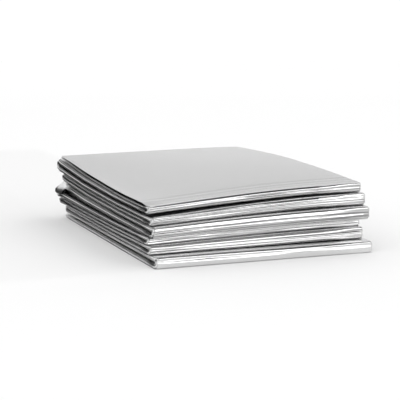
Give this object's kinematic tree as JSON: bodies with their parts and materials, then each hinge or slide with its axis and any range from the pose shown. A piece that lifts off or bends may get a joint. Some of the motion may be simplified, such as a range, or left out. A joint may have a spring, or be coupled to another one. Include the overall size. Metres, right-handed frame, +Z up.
{
  "type": "folded emergency foil blanket",
  "caption": "Metallised film blanket folded back and forth into a flat packet, thicker at one end, with round front folds and puffed back ones.",
  "frame": {"origin": "middle of the packet's bounding box, at its base", "axes": "+X along the folds to the packet's right end, +Y from the round front folds to the puffed back ones, +Z up"},
  "size_m": [0.0866, 0.1244, 0.028],
  "materials": {
    "foil_film": "glossy vacuum-metallised polyester film, silver on both faces, finely creased"
  },
  "bodies": {
    "root": {"foil_blanket": "foil_film"}
  },
  "joints": []
}
